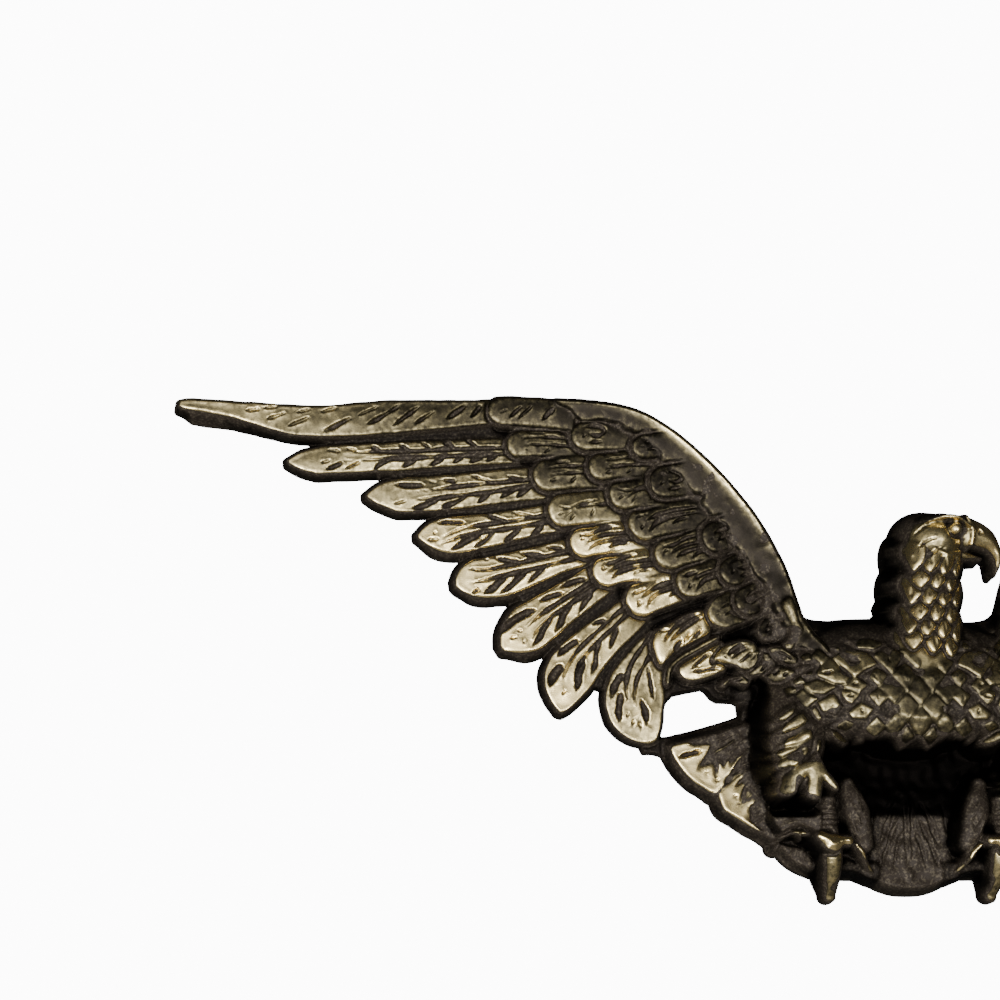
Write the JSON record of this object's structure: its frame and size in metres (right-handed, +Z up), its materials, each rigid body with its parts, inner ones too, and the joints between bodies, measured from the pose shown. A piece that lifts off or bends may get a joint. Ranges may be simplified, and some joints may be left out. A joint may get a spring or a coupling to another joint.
{
  "type": "wall eagle",
  "caption": "Cast brass spread-wing eagle for a wall, in relief on a flat back, with long wings held up, a fanned tail and taloned feet.",
  "frame": {"origin": "on the flat back, midway between the wings, at the level where the wings leave the shoulders", "axes": "+Z up; +Y out of the flat back, into the wall; the relief faces -Y; +X to the right of someone who faces it, along the wings"},
  "size_m": [0.5998, 0.032, 0.2052],
  "materials": {
    "antique_brass": "antiqued cast brass: worn bright on the raised feathers, dark grey-brown in the grooves and on the cast edges"
  },
  "bodies": {
    "root": {"cast_eagle": "antique_brass"}
  },
  "joints": []
}
